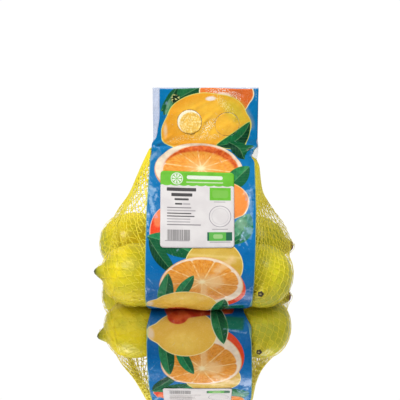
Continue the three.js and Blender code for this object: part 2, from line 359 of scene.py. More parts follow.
def lemon_peel(name, lemon):
    """Waxed yellow peel, more olive toward its ends, with oil pores and a few corky scuffs."""
    peel = Finish(f"peel_{name}", Roughness=0.38, IOR=1.42, Specular_IOR_Level=0.45,
                  Subsurface_Weight=0.12, Subsurface_Scale=0.003)
    peel.shader.inputs["Subsurface Radius"].default_value = (1.0, 0.75, 0.15)
    centre = Vector(lemon["centre"]) * MM
    turn = turn_to(lemon["axis"]).to_euler()
    own = peel.add("ShaderNodeMapping", {"vector_type": "TEXTURE"},
                   {"Vector": peel.place(), "Location": centre, "Rotation": turn})
    along = own.axes()[2] * 1000
    clouds = peel.noise(own, 0.024, 3.0).rise(0.38, 0.66)
    tone = peel.mix(clouds, lemon["skin"], lemon["shade"])
    flecks = peel.noise(own, 0.0035, 4.0).rise(0.56, 0.72)
    tone = peel.mix(flecks * 0.35, tone, (244, 226, 70))
    tip_end, stem_end = lemon["tip_end"], lemon["stem_end"]
    wander = peel.noise(own, 0.008) * 8
    toward_end = (along + wander).rise(tip_end - 16, tip_end + 2)
    toward_stem = (along - wander).rise(12 - stem_end, -2 - stem_end)
    tone = peel.mix(toward_end.highest(toward_stem) * 0.7, tone, lemon["end"])
    tone = peel.mix(along.rise(tip_end - 4.5, tip_end - 1.0), tone, lemon["tip_scar"])
    scuffs = peel.noise(own, 0.016, 5.0).rise(0.68, 0.74)
    tone = peel.mix(scuffs * 0.45, tone, (168, 132, 48))
    pores = peel.add("ShaderNodeTexVoronoi", None, {"Vector": own, "Scale": 1 / 0.0016})
    pits = pores.rise(0.32, 0.0)
    tone = peel.mix(pits * 0.16, tone, (150, 128, 16))
    peel.colour(tone)
    peel.roughness(0.33 + clouds * 0.1 + scuffs * 0.2)
    peel.bump(1 - pits + peel.noise(own, 0.0009) * 0.3, 0.00018)
    return peel.material


for lemon_name, lemon in LEMONS.items():
    lemon["centre"] = np.array(lemon["middle"], float) + PACK_SHIFT
    lemon["axis"] = np.array(lemon["points"], float) / np.linalg.norm(lemon["points"])
    lemon["tip_end"] = sum(lemon["tip"][:2])
    lemon["stem_end"] = sum(lemon["stem"][:2])
    lemon["profile"] = profile_of(lemon)
    fruit = form_lemon(lemon_name, lemon)
    fruit.data.materials.append(lemon_peel(lemon_name, lemon))
    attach(fruit, "root")
    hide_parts("lemon_net")


# ---- Stem buttons: the woody end of the cut stem, left in each lemon's neck. ----
# A ring of dried brown calyx round a paler plug of wood, sunk a little in the skin.

BUTTON_RADIUS = 2.7
BUTTON_SPOKES = 40
BUTTON_SUNK = 0.35
BUTTON_RINGS = [  # each ring's share of the radius, and its height
    (1.0, -1.2), (1.0, 0.0), (0.93, 0.55), (0.78, 0.8), (0.6, 0.62), (0.46, 0.1), (0.36, -0.05), (0.3, 0.3),
    (0.18, 0.42), (0.0, 0.45),
]


def form_button(name, lemon):
    around = np.linspace(0, 2 * math.pi, BUTTON_SPOKES, endpoint=False)
    points, shares = [], []
    for share, lift in BUTTON_RINGS:
        lobes = 1 + 0.1 * np.cos(5 * around) * (share > 0.7)
        for angle, lobe in zip(around, lobes):
            reach = BUTTON_RADIUS * share * lobe
            height = lift * (1 + 0.2 * math.sin(7 * angle))
            points.append((reach * math.cos(angle), reach * math.sin(angle), height))
            shares.append(share)
    faces = []
    for start in range(0, len(points) - BUTTON_SPOKES, BUTTON_SPOKES):
        for spoke in range(BUTTON_SPOKES):
            a, b = start + spoke, start + (spoke + 1) % BUTTON_SPOKES
            faces.append((a, b, b + BUTTON_SPOKES, a + BUTTON_SPOKES))
    faces.append(tuple(reversed(range(BUTTON_SPOKES))))
    at, way = ("tip_end", 1) if lemon.get("button_on_tip") else ("stem_end", -1)
    turn = np.array(turn_to(way * lemon["axis"]).to_matrix())
    foot = lemon["centre"] + way * lemon["axis"] * (lemon[at] - BUTTON_SUNK)
    mesh = bpy.data.meshes.new(f"stem_{name}")
    mesh.from_pydata(((np.array(points) @ turn.T + foot) * MM).tolist(), [], faces)
    from_middle = mesh.attributes.new("from_middle", "FLOAT", "POINT")
    from_middle.data.foreach_set("value", np.array(shares, np.float32))
    button = bpy.data.objects.new(f"stem_{name}", mesh)
    scene.collection.objects.link(button)
    select_only(button)
    bpy.ops.object.mode_set(mode="EDIT")
    bpy.ops.mesh.select_all(action="SELECT")
    bpy.ops.mesh.remove_doubles(threshold=1e-6)
    bpy.ops.object.mode_set(mode="OBJECT")
    smoothly(button)
    return button


def stem_wood():
    wood = Finish("stem_wood", Roughness=0.75)
    radial = wood.add("ShaderNodeAttribute", {"attribute_name": "from_middle"}, output=2)
    grain = wood.noise(wood.place(), 0.0008, 3.0)
    tone = wood.mix(grain, (24, 15, 9), (46, 30, 17))
    tone = wood.mix(radial.rise(0.28, 0.12), tone, (206, 194, 160))
    wood.colour(wood.mix(radial.rise(0.9, 1.0) * 0.4, tone, (104, 96, 34)))
    wood.bump(grain, 0.0003)
    return wood.material


button_finish = stem_wood()
for lemon_name, lemon in LEMONS.items():
    button = form_button(lemon_name, lemon)
    button.data.materials.append(button_finish)
    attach(button, "root")
    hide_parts("lemon_net")


# ---- Front film: the printed panel, welded over the net, with its two finger flaps. ----
# Clear film printed on its back, so it is glossy. It runs from a seam under the pack up its front
# to the weld that gathers the net, and on as the header. Two round flaps are cut in the header.

FILM_THICKNESS = 0.24
FILM_FLOAT = 0.58  # how far the film's middle lies off the surface that the net and the lemons fill
WELD_DRAW = 0.34  # how much nearer it is drawn from the weld up
THROAT_HEIGHT = 158.0
TOTAL_HEIGHT = 216.0
SEAM_HEIGHT = 1.1
# The lines are Y and Z up a panel's middle. The edges are a height, its middle's X and half its width.
FRONT_LINE = [(0, 1.1), (-28, 1.1), (-44, 2.6), (-55, 12), (-65.5, 27), (-71.5, 45), (-71.5, 58),
              (-62.5, 80.5), (-44, 106), (-23, 133), (-11, 150), (-8.5, THROAT_HEIGHT)]
HEADER_LINE = [(-6, 162), (-4.5, 172), (4, TOTAL_HEIGHT)]
FRONT_EDGES = [(1.1, 0, 43.5), (12, 2, 49.5), (25, 2, 51.8), (110, 4.3, 52.1), (150, 5.2, 50), (158, 5.2, 49),
               (168, 10, 47.6), (TOTAL_HEIGHT, 10.5, 47.6)]
PANEL_CROWN = 1.5  # how far a panel's edges fall back from its middle
HEADER_HALF = 47.6


def drawn_line(points, steps=24):
    """A smooth line through points (a centripetal Catmull-Rom), as its Y and Z at close steps."""
    points = np.array(points, float)
    ends = [2 * points[0] - points[1], *points, 2 * points[-1] - points[-2]]
    drawn = [points[0]]
    for a, b, c, d in zip(ends, ends[1:], ends[2:], ends[3:]):
        before, within, after = (math.sqrt(np.linalg.norm(q - p)) for p, q in ((a, b), (b, c), (c, d)))
        leave = ((b - a) / before - (c - a) / (before + within) + (c - b) / within) * within
        arrive = ((c - b) / within - (d - b) / (within + after) + (d - c) / after) * within
        for step in range(1, steps + 1):
            t = step / steps
            drawn.append((2 * t ** 3 - 3 * t ** 2 + 1) * b + (t ** 3 - 2 * t ** 2 + t) * leave
                         + (3 * t ** 2 - 2 * t ** 3) * c + (t ** 3 - t ** 2) * arrive)
    return np.array(drawn)


def smooth_rise(value, start, end):
    share = np.clip((value - start) / (end - start), 0, 1)
    return share * share * (3 - 2 * share)


class Panel:
    """A film panel's surface: side is -1 for the front panel and 1 for the back one."""

    NEAR = 2.0  # how far up and down its line a slope is taken

    def __init__(self, body, header, edges, side):
        self.body = drawn_line(body)
        self.line = np.vstack([self.body, drawn_line(header)])
        self.line[:, 1] = np.maximum(self.line[:, 1], SEAM_HEIGHT)
        self.run = np.concatenate([[0], np.cumsum(np.linalg.norm(np.diff(self.line, axis=0), axis=1))])
        self.weld = self.run[len(self.body) - 1]
        self.length = self.run[-1]
        self.edges = np.array(edges, float)
        self.side = side

    def on_line(self, run):
        return (np.interp(run, self.run, axis) for axis in self.line.T)

    def middle_and_half(self, z):
        return (np.interp(z, self.edges[:, 0], column) for column in self.edges.T[1:])

    def flat_to_print(self, flat_x, run):
        """The X in the print of a flat sheet's X, which the panel's own width stretches, and that width."""
        middle, half = self.middle_and_half(tuple(self.on_line(run))[1])
        return middle + half * flat_x / HEADER_HALF, middle, half

    def point(self, run, across, out=0.0):
        """Where the panel is at run up its line and across from -1 to 1, laid off outwards by out."""
        y, z = self.on_line(run)
        above, below = self.on_line(run + self.NEAR), self.on_line(run - self.NEAR)
        rise_y, rise_z = (high - low for high, low in zip(above, below))
        size = np.hypot(rise_y, rise_z)
        middle, half = self.middle_and_half(z)
        fall = PANEL_CROWN * smooth_rise(z, 4, 40) * (1 - smooth_rise(z, 110, THROAT_HEIGHT)) * across ** 2
        x = middle + half * across
        y = y - self.side * fall + self.side * rise_z / size * out
        z = z - self.side * rise_y / size * out
        return np.stack(np.broadcast_arrays(x, y, z), axis=-1) + PACK_SHIFT


front = Panel(FRONT_LINE, HEADER_LINE, FRONT_EDGES, -1)


def fold_line(x, run, start, end):
    """How far each point is from a straight fold, and its share along it."""
    dx, dy = end[0] - start[0], end[1] - start[1]
    share = np.clip(((x - start[0]) * dx + (run - start[1]) * dy) / (dx * dx + dy * dy), 0, 1)
    return np.hypot(x - start[0] - share * dx, run - start[1] - share * dy), share


def add_folds(lift, x, run, folds):
    for start, end, width, height in folds:
        away, share = fold_line(x, run, start, end)
        lift = lift + height * bell(away / width) * (1 - 0.4 * share)
    return lift


# Folds of the film: start and end as X and distance up the film, then width and height.
FRONT_FOLDS = [
    ((-38, 231.5), (56, 230.0), 1.6, -1.3), ((-38, 234.5), (56, 233.5), 1.8, 0.7),
    ((-39, 231), (-24, 243), 1.5, 1.0), ((-40, 231), (-26, 219), 1.6, 0.9),
    ((-40, 228), (-34, 205), 2.0, 0.8), ((54, 231), (40, 240), 1.7, -1.0), ((54, 231), (38, 221), 1.8, 0.9),
    ((52, 228), (47, 207), 2.2, 0.8), ((0, 243), (7, 256), 1.3, 1.0), ((7, 256), (14, 262), 1.3, 0.9),
    ((4, 241), (10, 252), 1.0, -0.7), ((-50, 197), (-36, 187), 2.4, 1.5),
    ((-48, 183), (-39, 158), 2.0, 1.3), ((-42, 190), (-37, 166), 1.8, -1.1),
    ((-46, 155), (-41, 140), 2.0, 1.0), ((56, 190), (46, 184), 2.2, 1.3), ((52, 182), (46, 160), 2.0, 1.2),
    ((56, 176), (52, 150), 1.6, -1.0), ((42, 158), (50, 138), 1.6, 1.1), ((46, 160), (53, 146), 1.4, -0.9),
    ((40, 146), (47, 130), 1.5, 1.0), ((-36, 128), (-20, 118), 1.6, 0.6),
    ((-28, 276), (-34, 262), 1.6, 0.8), ((20, 288), (32, 272), 1.4, 0.6), ((46, 288), (50, 262), 2.0, 0.5),
    ((-4, 268), (8, 274), 1.5, 0.5),
]
LABEL_AREA = (-34.6, 133.8, 35.4, 207.8)  # left, bottom, right and top of the paper


def crumple(x, run, size, seed):
    """Irregular soft waves about size across, from about -1 to 1."""
    chance = np.random.default_rng(seed)
    total = 0
    for wave in range(9):
        angle, phase, shift = chance.uniform(0, 2 * math.pi, 3)
        step = 2 * math.pi / (size * chance.uniform(0.8, 2.0))
        bent = 0.8 * np.sin(0.5 * step * (x * math.sin(angle) - run * math.cos(angle)) + shift)
        total = total + np.sin(step * (x * math.cos(angle) + run * math.sin(angle)) + phase + bent)
    return total / 4.2


def front_relief(x, run):
    """How far the front film stands off its panel's smooth surface, outwards, in mm."""
    lift = 0.35 * crumple(x, run, 19, 37)
    creased = smooth_rise(run, 200, 226) * (1 - 0.5 * smooth_rise(run, 240, 262))
    lift += creased * (0.22 * crumple(x, run, 7.5, 81) + 0.06 * crumple(x, run, 3.2, 53))
    lift += (1 - smooth_rise(run, 20, 120)) * 0.15 * crumple(x, run, 11, 22)
    lift += 2.2 * np.exp(-((x - 10) / 17) ** 2 - ((run - 46) / 15) ** 2)  # the fold sags to the table here
    lift = add_folds(lift, x, run, FRONT_FOLDS)
    left, bottom, right, top = LABEL_AREA
    beside = np.maximum.reduce([left - x, x - right, bottom - run, run - top])
    lift = lift * smooth_rise(beside, -2.5, 3.5)  # the paper keeps the film flat
    lowest = -0.05 - 0.9 * smooth_rise(run, front.weld, front.weld + 6)  # below the weld it lies on the net
    return np.maximum(lift, lowest)


def front_outline(x, run):
    """Draws the film's edges in and out round the weld, and waves its top edge."""
    right = 2.6 * bell((run - 231.5) / 3.4) - 3.0 * bell((run - 221.5) / 3.6)
    right = smooth_rise(x, 30, 55) * right
    left = 1.0 * bell((run - 226) / 4) - 2.4 * bell((run - 236) / 5)
    left = smooth_rise(-x, 20, 40) * (left + 2.2 * smooth_rise(run, 243, 262))
    corner = 2.0 * smooth_rise(run, 24, 40) * (1 - smooth_rise(run, 58, 76))
    corner = corner * np.sign(x) * smooth_rise(abs(x), 25, 48)
    wave = smooth_rise(run, 262, 288) * (0.5 * np.sin(x / 11 + 0.6) - 0.6)
    return x + right + left + corner, run + wave


def slab(name, width, length, thickness, columns, rows):
    """A flat sheet of film, in mm, with its length along Y from 0 and its middle at X = 0."""
    bpy.ops.mesh.primitive_grid_add(
        x_subdivisions=columns, y_subdivisions=rows, size=1, location=(0, length / 2, 0))
    sheet = bpy.context.object
    sheet.name = name
    sheet.scale = (width, length, 1)
    bpy.ops.object.transform_apply(location=True, rotation=False, scale=True)
    wall = sheet.modifiers.new("wall", "SOLIDIFY")
    wall.thickness = thickness
    wall.offset = 0
    apply_modifiers(sheet)
    return sheet


def cut_with(sheet, cutter, operation):
    cut = sheet.modifiers.new("cut", "BOOLEAN")
    cut.object = cutter
    cut.operation = operation
    cut.solver = "EXACT"
    apply_modifiers(sheet)
    bpy.data.objects.remove(cutter)


def round_cutter(place, radius):
    bpy.ops.mesh.primitive_cylinder_add(vertices=72, radius=radius, depth=20, location=(*place, 0))
    return bpy.context.object


def write_uv(piece, across, run):
    """Keeps each vertex's place in the print, in metres from a corner 0.1 left of the middle."""
    layer = piece.data.uv_layers[0]
    layer.name = "print_place"
    corners = np.empty(len(piece.data.loops), np.int32)
    piece.data.loops.foreach_get("vertex_index", corners)
    place = np.column_stack([across * MM + 0.1, run * MM])
    layer.data.foreach_set("uv", place[corners].astype(np.float32).ravel())


def lay_on_panel(sheet, panel, relief_at, outline_at):
    """Forms a flat sheet, in mm, to a panel: its X runs across the panel, its Y up it."""
    flat = vertices_of(sheet)
    run = flat[:, 1]
    x, middle, half = panel.flat_to_print(flat[:, 0], run)
    shown_x, shown_run = outline_at(x, run)
    float_ = FILM_FLOAT - WELD_DRAW * smooth_rise(run, panel.weld, panel.weld + 8)
    out = float_ + flat[:, 2] + relief_at(x, run)
    points = panel.point(shown_run, (shown_x - middle) / half, out)
    points[:, 2] = np.maximum(points[:, 2], 0.1 + flat[:, 2] - flat[:, 2].min())  # it lies on the table
    move_vertices(sheet, points * MM)
    write_uv(sheet, x, run)
    smoothly(sheet)


FINGER_RADIUS = 11.6
FINGER_CUTS = {"left": (-7.0, 255.6), "right": (28.8, 253.0)}
CUT_GAP = 0.15


def finger_cutter(side, radius):
    """A cylinder that cuts a finger hole's circle in the film while it is flat."""
    x, run = FINGER_CUTS[side]
    _, middle, half = front.flat_to_print(0.0, run)
    return round_cutter((float((x - middle) / half * HEADER_HALF), run), radius)


film = slab("front_film", 2 * HEADER_HALF, front.length, FILM_THICKNESS, 76, 216)
flaps = {}
for side in FINGER_CUTS:
    flap = film.copy()
    flap.data = film.data.copy()
    flap.name = f"finger_flap_{side}"
    scene.collection.objects.link(flap)
    cut_with(flap, finger_cutter(side, FINGER_RADIUS - CUT_GAP), "INTERSECT")
    flaps[side] = flap
for side in FINGER_CUTS:
    cut_with(film, finger_cutter(side, FINGER_RADIUS), "DIFFERENCE")
lay_on_panel(film, front, front_relief, front_outline)


def left_flap_relief(x, run):
    """The left flap has been pushed at: it is crumpled, and stands out at its lower right."""
    cx, cy = FINGER_CUTS["left"]
    crush = 0.3 * crumple(x, run, 4.2, 14) + 0.2 * crumple(x, run, 2.1, 61)
    return front_relief(x, run) + np.maximum(0.5 + crush + 0.04 * ((x - cx) - (run - cy)), 0.05)


def left_flap_outline(x, run):
    cx, cy = FINGER_CUTS["left"]
    return cx + 0.99 * (x - cx) + 0.05, cy + 0.985 * (run - cy) - 0.1


def right_flap_relief(x, run):
    """The right flap is flat, but for its upper right edge, which is bent up."""
    cx, cy = FINGER_CUTS["right"]
    return front_relief(x, run) + 0.1 + 1.1 * bell(np.hypot(x - cx - 7.5, run - cy - 7) / 2.6)


def right_flap_outline(x, run):
    cx, cy = FINGER_CUTS["right"]
    return cx + 0.995 * (x - cx), cy + 0.99 * (run - cy) - 0.05


lay_on_panel(flaps["left"], front, left_flap_relief, left_flap_outline)
lay_on_panel(flaps["right"], front, right_flap_relief, right_flap_outline)


class Print(Finish):
    """A printed film or paper: shapes are laid one over another by their distance outside, in mm."""

    def __init__(self, name, **shader_values):
        super().__init__(name, **shader_values)
        self.print_place = self.add("ShaderNodeUVMap", {"uv_map": "print_place"})
        corner = self.print_place.vector("SUBTRACT", (0.1, 0, 0))
        self.spot = corner.vector("MULTIPLY", (1000, 1000, 0))
        self.x, self.y = self.along_and_across(self.spot)
        self.ink = None  # what is printed so far

    def lay(self, outside, ink, soft=0.3, strength=1.0):
        share = outside.rise(soft, -soft)
        self.ink = self.mix(share if strength == 1 else share * strength, self.ink, ink)

    def seen_from(self, middle, angle=0.0, size=(1, 1)):
        """The place in the print from a middle, along axes turned by an angle, in steps of a size."""
        local = self.spot
        if angle:
            local = self.add("ShaderNodeVectorRotate", {"rotation_type": "Z_AXIS"},
                             {"Vector": local, "Center": (*middle, 0), "Angle": math.radians(-angle)})
        local = local.vector("SUBTRACT", (*middle, 0))
        return local if size == (1, 1) else local.vector("DIVIDE", (*size, 1))

    def along_and_across(self, local):
        return (local.vector("DOT_PRODUCT", direction, output=1) for direction in ((1, 0, 0), (0, 1, 0)))

    def ellipse(self, middle, radii, angle=0.0):
        small = min(radii)
        return self.seen_from(middle, angle, radii).length().times_plus(small, -small)

    def box(self, middle, size, corner=0.01, angle=0.0):
        near = self.seen_from(middle, angle).vector("ABSOLUTE")
        past = near.vector("SUBTRACT", (size[0] / 2 - corner, size[1] / 2 - corner, 0))
        return past.vector("MAXIMUM", (0, 0, 0)).length() - corner

    def half_plane(self, point, angle):
        """Outside is the side that the angle, in degrees, points to."""
        return self.seen_from(point, angle).vector("DOT_PRODUCT", (1, 0, 0), output=1)

    def clouds(self, size, detail=2.0, low=0.35, high=0.65):
        return self.noise(self.print_place, size * MM, detail).rise(low, high)

    def sectors(self, local, count, start):
        """How many sectors round a middle each place is, of count in a full turn."""
        a, b = self.along_and_across(local)
        return self.math("ARCTAN2", b, a) * (count / (2 * math.pi)) + start

    def leaf(self, base, tip, width, bend, light, dark, outline=None):
        """A pointed leaf with a pale midrib, its two halves lit differently."""
        length = math.dist(base, tip)
        angle = math.degrees(math.atan2(tip[1] - base[1], tip[0] - base[0]))
        share, across = self.along_and_across(self.seen_from(base, angle, (length, 1)))
        beyond = (abs(share - 0.5) - 0.5) * length
        share = share.highest(0.001).lowest(0.999)
        arch = share * (1 - share) * 4
        off = arch.times_plus(-bend, across)
        outside = (abs(off) - (arch ** 0.8) * (width / 2)).highest(beyond)
        if outline:
            self.lay(outside - 0.7, outline)
        veins = share.times_plus(length / 3.8, abs(off) * -0.28).fraction().rise(0.8, 1.0)
        tone = self.mix(off.rise(-0.5, 0.5), dark, light)
        tone = self.mix(self.clouds(5.0, 3.0) * 0.45, tone, (6, 78, 44))
        tone = self.mix(veins * 0.12, tone, (120, 186, 130))
        tone = self.mix(abs(off).rise(0.5, 0.15) * 0.3, tone, (130, 190, 130))
        self.lay(outside, tone)

    def slice(self, rim, pulp, hub, segments, rind, juice, deep):
        """A cut citrus fruit: rind, pale pith, and pulp in wedges round a hub. Rim and pulp are
        ellipses, each with its middle and radii."""
        local = self.seen_from(hub, 0, pulp[1])
        reach = local.length()
        size = min(pulp[1])
        self.lay(self.ellipse(*rim), rind)
        pith = self.mix(self.clouds(6), (246, 226, 200), (232, 212, 190))
        self.lay(self.ellipse(*rim) + 0.6, pith, 0.5)
        turn = self.sectors(local, segments, 20.3)
        wedge = abs(turn.fraction() - 0.5)
        flow = self.add("ShaderNodeCombineXYZ", None, {0: turn * 1.9, 1: reach * 1.3})
        fibres = self.noise(flow, 0.16, 3.0).rise(0.35, 0.7)
        cells = self.add("ShaderNodeTexVoronoi", None, {"Vector": flow, "Scale": 6.0}).rise(0.1, 0.8)
        tone = self.mix(fibres, deep, juice)
        tone = self.mix(cells * 0.3, tone, (248, 196, 104))
        tone = self.mix(reach.rise(0.5, 0.0) * 0.45, tone, (250, 220, 160))
        inside = ((wedge * 2) ** 8).times_plus(1.3, self.ellipse(*pulp))
        self.lay(inside, tone, 0.5)
        edge = (0.5 - wedge) * reach * (2 * math.pi / segments * size)
        wall = edge.rise(0.75, 0.2) * inside.rise(0.3, -0.5) * self.clouds(4.0, 3.0, 0.3, 0.62)
        self.ink = self.mix(wall * 0.75, self.ink, (252, 222, 160))
        self.lay((reach - 0.09) * size, (250, 228, 180), 1.6)

    def shaded_fruit(self, outside, tone, shade, glow, light_from, outline=(250, 236, 190)):
        """A whole fruit or a piece of its skin, with a glow on one side and a thin pale outline."""
        self.lay(outside - 0.6, outline)
        near = self.ellipse(*light_from).rise(6.0, -5.0)
        skin = self.mix(near, shade, tone)
        skin = self.mix(self.clouds(7.0, 3.0) * 0.35, skin, shade)
        skin = self.mix(self.clouds(1.3, 2.0, 0.5, 0.75) * 0.22, skin, glow)
        self.lay(outside, skin)

    def smooth_union(self, one, other, blend):
        return self.math("SMOOTH_MIN", one, other, blend)


def fruit_print():
    """Sky blue film with cut oranges, lemons and leaves up its whole length."""
    p = Print("printed_film", Roughness=0.24, IOR=1.45, Specular_IOR_Level=0.3)
    # painted shade: the blue is darker towards the bottom of the film
    p.ink = p.mix(p.y.rise(60, 250), (0, 100, 172), (0, 114, 172))
    p.ink = p.mix(p.clouds(22, 2.0) * 0.35, p.ink, (4, 124, 190))

    # header: leaves and peel behind, the big lemon, the leaves over it
    p.leaf((-36, 266), (10, 292), 19, 2.0, (34, 112, 66), (14, 76, 44))
    p.leaf((-33, 262), (-18, 290), 9, 1.0, (22, 92, 54), (8, 60, 36))
    p.leaf((-31, 262), (-24, 281), 6, -1.0, (124, 176, 140), (84, 150, 110))
    glints = p.mix(p.clouds(2.1, 1.0, 0.52, 0.66), (10, 44, 26), (216, 216, 140))
    p.lay(p.ellipse((-20.4, 278.7), (4.4, 4.2), 20), glints, 1.2)
    glint_specks = (1 - p.clouds(1.2, 3.0, 0.5, 0.6)) * 4  # painted highlights: where the film is crumpled, its glints break the pale marks into specks
    peel = p.smooth_union(p.ellipse((28, 284), (25, 16), -3), p.ellipse((39.5, 276), (9, 11)), 3.0)
    p.shaded_fruit(peel, (240, 128, 52), (220, 104, 40), (252, 206, 160), ((12, 285), (14, 6)))
    # painted highlight: a pale streak over the peel, broken into specks
    p.lay(p.ellipse((26, 282), (18, 6.0), -8) + glint_specks, (252, 226, 210), 0.7, 0.9)
    body = p.smooth_union(p.ellipse((7, 255.5), (36, 27.7)), p.ellipse((22, 262), (24, 19.5)), 3.0)
    for middle, radii in (((40, 252), (11.3, 13)), ((-24, 247), (9.4, 14)), ((-8, 243), (20, 16))):
        body = p.smooth_union(body, p.ellipse(middle, radii), 4.0)
    p.shaded_fruit(body, (252, 194, 62), (240, 164, 42), (252, 214, 104), ((12, 258), (30, 20)),
                   (222, 222, 120))
    p.lay(p.ellipse((38, 266), (17, 9), -42).highest(body), (206, 186, 52), 5.0, 0.75)
    p.lay(p.ellipse((13.1, 278.0), (4.6, 2.0), 4), (250, 236, 226), 0.7)
    p.lay(p.ellipse((-30, 247.5), (1.5, 5.5), 6), (240, 216, 180), 1.4, 0.7)
    # painted highlights: pale streaks over the lemon, broken into specks
    for middle, radii, angle, ink, share in (
            ((11, 251), (10.5, 4.2), 48, (254, 240, 196), 0.95),
            ((6, 241), (17, 3.4), 4, (252, 220, 160), 0.9),
            ((-16, 239), (12, 3.0), 16, (252, 218, 150), 0.85),
            ((25, 273), (14, 4.5), -42, (250, 228, 150), 0.7)):
        p.lay(p.ellipse(middle, radii, angle) + glint_specks, ink, 0.6, share)
    p.leaf((18.8, 232.6), (50.2, 255.4), 15, -7.0, (22, 112, 62), (4, 58, 34), (196, 204, 96))
    p.leaf((33, 226), (52, 232), 8, -1.0, (18, 100, 56), (4, 50, 32))
    p.leaf((30, 236), (47.5, 219), 13, 2.0, (14, 96, 54), (4, 56, 36))

    # above the label: the half orange with a leaf at its right
    pulp = ((3.6, 208), (36, 24.3))
    rim = ((1.7, 208.5), (42, 26.3), -2)
    p.slice(rim, pulp, (4, 210.3), 10, (240, 212, 178), (240, 164, 60), (228, 132, 38))
    rind = p.ellipse(*rim).highest(-p.ellipse((2.0, 210.1), (42, 26.3), -2))
    p.lay(rind, (206, 122, 62), 0.5, 0.9)
    inner = p.ellipse(*pulp)
    red = inner.highest(-p.ellipse((1.5, 202.8), (37, 24.0), -3))
    p.lay(red, p.mix(p.clouds(3.0, 3.0), (196, 62, 22), (226, 108, 46)), 1.2, 0.92)
    p.leaf((27, 189), (50, 211.8), 18, 0.0, (44, 138, 78), (16, 98, 58))

    # at the label's sides: wedges of orange and a leaf
    wedge = p.ellipse((22, 177), (27, 20)).highest(p.half_plane((42, 164), -70))
    p.shaded_fruit(wedge, (244, 148, 68), (232, 134, 60), (250, 184, 110), ((40, 182), (8, 12)),
                   (248, 210, 150))
    p.leaf((29, 137), (50.5, 165.5), 20, -3.0, (88, 156, 120), (44, 128, 88))
    p.lay(p.ellipse((42.5, 156), (4.5, 6.5), 30), (150, 186, 160), 3.0, 0.5)
    p.leaf((34, 138), (45, 144), 7, 0.5, (20, 116, 72), (10, 92, 58))
    berry = p.ellipse((-24, 148), (20, 26)).highest(p.half_plane((-44, 140.4), -90))
    p.shaded_fruit(berry, (236, 72, 34), (226, 60, 30), (250, 160, 110), ((-38, 146), (5, 9)),
                   (246, 190, 164))
    p.lay(p.ellipse((-35, 162), (5.0, 9), -20).highest(berry), (250, 134, 84), 1.0, 0.9)

    # under the label: leaf, lemon, the big slice, and two leaves and a lemon in front of it
    p.leaf((-47, 144), (1, 126), 20, 2.0, (34, 138, 84), (10, 92, 54))
    p.leaf((-45, 142), (-20, 109), 13, -1.5, (14, 92, 56), (4, 58, 36))
    citron = p.ellipse((16, 116), (27, 25))
    p.shaded_fruit(citron, (216, 182, 84), (206, 166, 62), (236, 208, 132), ((14, 124), (20, 9)),
                   (248, 232, 160))
    p.lay((abs(p.half_plane((0, 121), 82)) - 1.4).highest(citron), (206, 158, 48), 1.4, 0.5)
    p.lay((abs(p.half_plane((0, 127), 86)) - 1.0).highest(citron), (246, 220, 140), 1.6, 0.5)
    p.lay(p.ellipse((9.5, 90.0), (37.0, 31.0)), (230, 72, 30))
    p.slice(((4.2, 95), (40, 30.5), 0), ((3.3, 98.3), (36.2, 24.7)), (5.0, 101), 9,
            (228, 168, 110), (236, 152, 50), (214, 126, 34))
    p.leaf((-34, 62), (-27, 109.5), 15, -0.5, (44, 132, 84), (14, 88, 54))
    p.leaf((-20, 76), (-3, 107.8), 12, 1.0, (34, 136, 84), (14, 100, 60))
    glare_band = p.box((26, 117), (24, 7.5), 3, 37).lowest(p.ellipse((17, 101), (9, 8)))
    glare_band = glare_band.lowest(p.box((7, 76), (7, 44), 3))
    p.lay(glare_band + p.clouds(3.0, 3.0) * 1.5, (244, 206, 150), 2.6, 0.6)  # painted reflection: a pale band of glare
    lemon_low = p.smooth_union(p.ellipse((-11, 66), (30, 21.8)), p.ellipse((-39.5, 66), (8.3, 7.6)), 6.0)
    p.shaded_fruit(lemon_low, (248, 208, 92), (236, 186, 68), (254, 232, 160), ((-14, 74), (14, 9)),
                   (250, 236, 176))
    p.lay(p.ellipse((-44.5, 66), (3.0, 5.5)), (240, 216, 190), 1.6, 0.8)
    tomato = p.half_plane((0, 50), 84).highest(p.ellipse((2, 40), (34, 18)))
    tomato = p.smooth_union(tomato, p.ellipse((-19, 50), (10, 7)), 3.0)
    p.lay(tomato, p.mix(p.clouds(9.0, 3.0), (196, 52, 24), (236, 104, 48)), 0.5)
    p.leaf((16.5, 37), (26.4, 76.2), 14.5, -0.6, (34, 130, 74), (12, 92, 54), (226, 230, 190))
    p.lay(p.box((36, 56), (17, 13), 2.0, 4), (12, 116, 58), 1.6, 0.85)

    # pale-blue painted reflections where the film is folded
    for middle, size, angle, share in (
            ((-43.5, 188), (8, 9), -28, 0.4), ((-41.5, 171), (5, 20), 14, 0.32),
            ((-46, 160), (3.4, 13), -8, 0.3), ((49.5, 184), (9, 10), 12, 0.3),
            ((50.5, 166), (6.4, 24), -4, 0.28), ((48, 147), (9, 11), -12, 0.3),
            ((-38, 224), (9, 8), 24, 0.2)):
        p.lay(p.box(middle, size, 0.6, angle) + p.clouds(6.0, 2.0) * 0.8, (150, 194, 232), 0.8, share)
